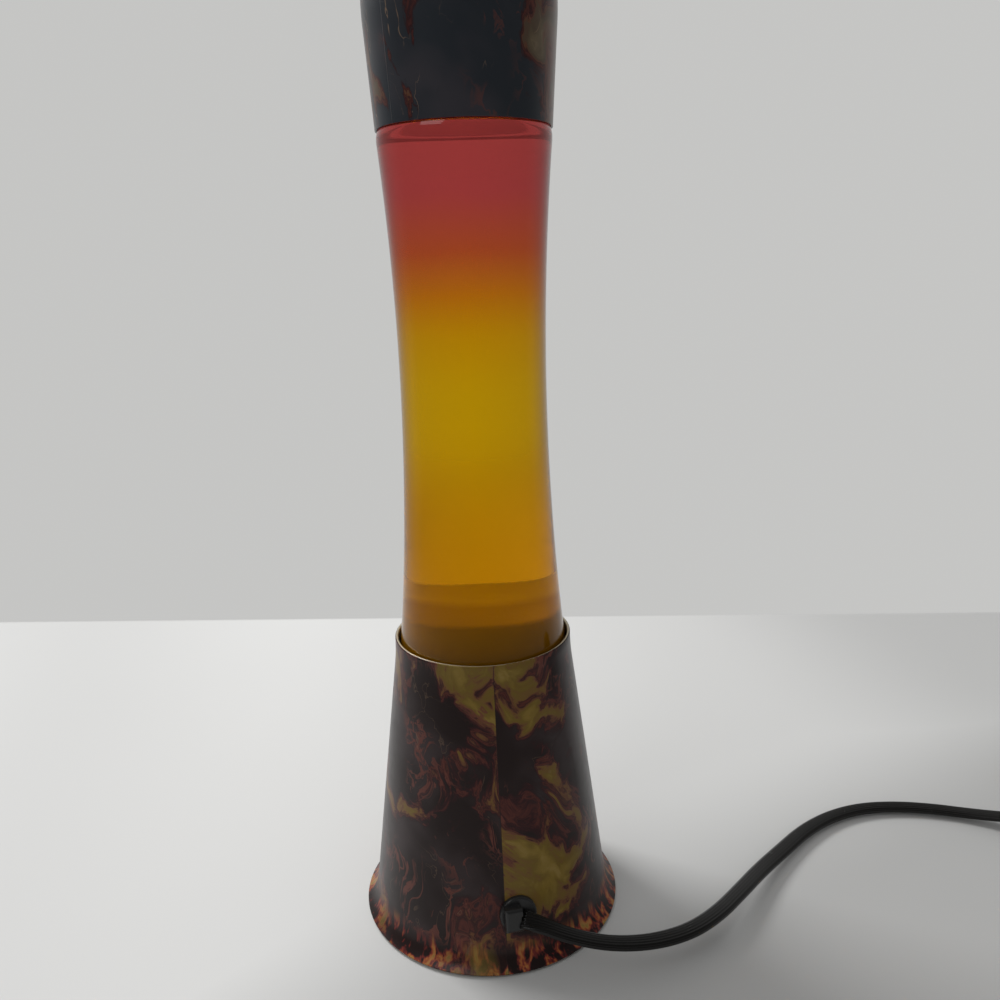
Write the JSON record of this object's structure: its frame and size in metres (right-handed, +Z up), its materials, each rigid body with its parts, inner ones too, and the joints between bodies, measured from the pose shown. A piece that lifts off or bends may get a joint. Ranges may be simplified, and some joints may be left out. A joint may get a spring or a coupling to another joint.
{
  "type": "liquid motion lamp",
  "caption": "Tall liquid motion lamp: a flared base and rounded cap in marbled print, a waisted tinted globe, and a lead with a thumbwheel switch, put-away coil and two-pin plug.",
  "frame": {"origin": "middle of the foot, on the surface that the lamp stands on", "axes": "+Z up along the lamp's axis; the lead leaves the base towards -Y and lies away towards +X"},
  "size_m": [0.4782, 0.1635, 0.406],
  "materials": {
    "base_skin": "printed marbled film over spun metal, satin",
    "black_rubber": "matt",
    "plate_metal": "matt black",
    "zinc_steel": "zinc plated",
    "black_plastic": "moulded",
    "brass": "stamped",
    "clear_glass": "clear",
    "bulb_screw": "pressed",
    "ceramic_white": "glazed",
    "nichrome": "wire",
    "tinted_glass": "clear with a red to yellow tint",
    "wax": "cold wax",
    "liquid": "clear coloured liquid",
    "tinplate": "pressed",
    "white_liner": "soft",
    "cap_skin": "printed marbled film over spun metal, satin",
    "switch_skin": "moulded",
    "lead_skin": "satin"
  },
  "bodies": {
    "base": {"base_shell": "base_skin", "foot_ring": "black_rubber", "bottom_plate": "plate_metal", "plate_screws": "zinc_steel", "socket_bracket": "zinc_steel", "bracket_screws": "zinc_steel", "bracket_nuts": "zinc_steel", "threaded_nipple": "zinc_steel", "nipple_nut": "zinc_steel", "socket_body": "black_plastic", "socket_shell": "brass", "socket_contact": "brass", "terminal_screws": "brass", "globe_seat": "plate_metal", "strain_relief": "switch_skin", "inner_lead": "lead_skin", "lead_cores": "lead_skin", "lead_run": "lead_skin", "lead_link": "lead_skin", "lead_coil": "lead_skin", "lead_tail": "lead_skin", "coil_tie": "switch_skin", "switch_tray": "switch_skin", "switch_lid": "switch_skin", "switch_screws": "zinc_steel", "wheel_pin": "zinc_steel", "switch_contacts": "brass", "plug_body": "switch_skin", "plug_blades": "brass"},
    "cap": {"cap_shell": "cap_skin"},
    "globe": {"globe_glass": "tinted_glass", "wax": "wax", "liquid": "liquid", "heater_coil": "nichrome", "crown_cap": "tinplate", "crown_liner": "white_liner"},
    "bulb": {"bulb_glass": "clear_glass", "bulb_cap": "bulb_screw", "bulb_insulator": "ceramic_white", "bulb_contact": "zinc_steel", "bulb_stem": "clear_glass", "bulb_supports": "nichrome", "bulb_filament": "nichrome"},
    "thumbwheel": {"thumbwheel": "switch_skin"}
  },
  "joints": [
    {"name": "globe_lift", "type": "slide", "parent": "base", "child": "globe", "axis": [0, 0, 1], "range_m": [0, 0.06]},
    {"name": "cap_lift", "type": "slide", "parent": "globe", "child": "cap", "axis": [0, 0, 1], "range_m": [0, 0.06]},
    {"name": "bulb_turn", "type": "hinge", "parent": "base", "child": "bulb", "pos_m": [0, 0, 0.04], "axis": [0, 0, 1], "range_deg": [0, 1440]},
    {"name": "thumbwheel_turn", "type": "hinge", "parent": "base", "child": "thumbwheel", "pos_m": [0.29107, -0.05462, 0.009], "axis": [0, 0, 1], "continuous": true}
  ]
}
